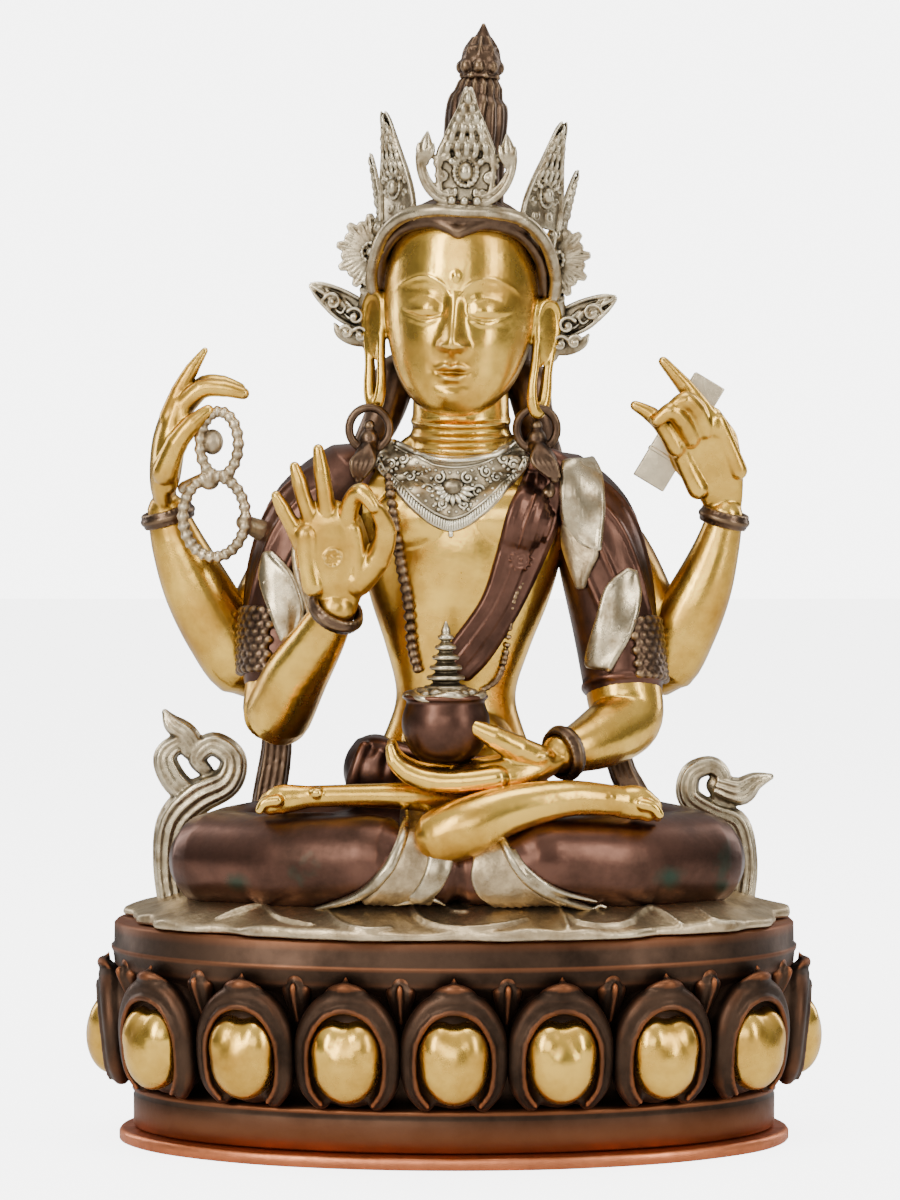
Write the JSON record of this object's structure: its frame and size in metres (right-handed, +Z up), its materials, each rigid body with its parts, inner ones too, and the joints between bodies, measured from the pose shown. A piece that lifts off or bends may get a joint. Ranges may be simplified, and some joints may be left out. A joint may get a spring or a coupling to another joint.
{
  "type": "seated deity statue",
  "caption": "Cast brass statue of a seated deity with two pairs of arms, a tall crown and a bowl, on an oval pedestal ringed with lotus petals.",
  "frame": {"origin": "centre of the pedestal's underside", "axes": "+Z up, the figure faces -Y, and +X is to the viewer's right, which is the figure's left"},
  "size_m": [0.343, 0.206, 0.5173],
  "materials": {
    "brass": "polished, with oxidised and silvered areas",
    "silver": "silvered and darkened in the recesses",
    "dark_copper": "dark oxidised copper, with polished lobes on the petals",
    "copper": "bare worn copper"
  },
  "bodies": {
    "root": {"figure": "brass", "crown": "silver", "lotus_pedestal": "dark_copper", "base_plate": "copper"}
  },
  "joints": []
}
